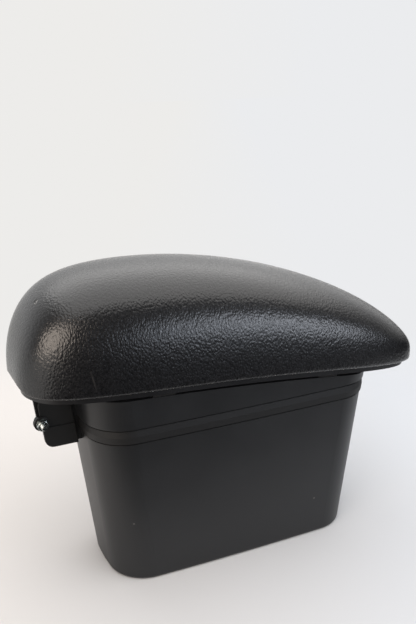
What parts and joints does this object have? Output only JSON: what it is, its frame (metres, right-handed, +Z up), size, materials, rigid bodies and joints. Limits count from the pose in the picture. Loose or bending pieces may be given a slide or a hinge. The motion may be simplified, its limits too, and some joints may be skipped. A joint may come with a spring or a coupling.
{
  "type": "car centre armrest",
  "caption": "Car centre armrest: a grained black padded lid, thick at the rear and thin at the nose, hinged on a tapered black storage bin.",
  "frame": {"origin": "centre of the bin's flat underside", "axes": "+X towards the front, the thin nose of the lid; +Z up; the hinge is at -X and turns about Y"},
  "size_m": [0.3139, 0.1038, 0.2287],
  "materials": {
    "bin_plastic": "satin black moulded plastic",
    "coated_steel": "dull black coating on pressed steel",
    "base_plastic": "dull black moulded plastic",
    "cushion_skin": "black pebble-grained skin on soft foam",
    "buffer_rubber": "matt black rubber",
    "bush_plastic": "natural nylon",
    "zinc_steel": "bright zinc-plated steel"
  },
  "bodies": {
    "bin": {"storage_bin": "bin_plastic", "rim_buffers": "buffer_rubber", "hinge_bracket": "coated_steel", "bracket_washers": "zinc_steel", "bracket_screws": "zinc_steel", "hinge_washers": "zinc_steel", "hinge_nut": "zinc_steel", "hinge_bolt": "zinc_steel"},
    "lid": {"armrest_cushion": "cushion_skin", "lid_base": "base_plastic", "base_screws": "zinc_steel", "hinge_arm": "coated_steel", "hinge_bush": "bush_plastic", "hinge_arm_screws": "zinc_steel"}
  },
  "joints": [
    {"name": "lid_hinge", "type": "hinge", "parent": "bin", "child": "lid", "pos_m": [-0.1397, 0, 0.1247], "axis": [0, -1, 0], "range_deg": [0, 95]}
  ]
}
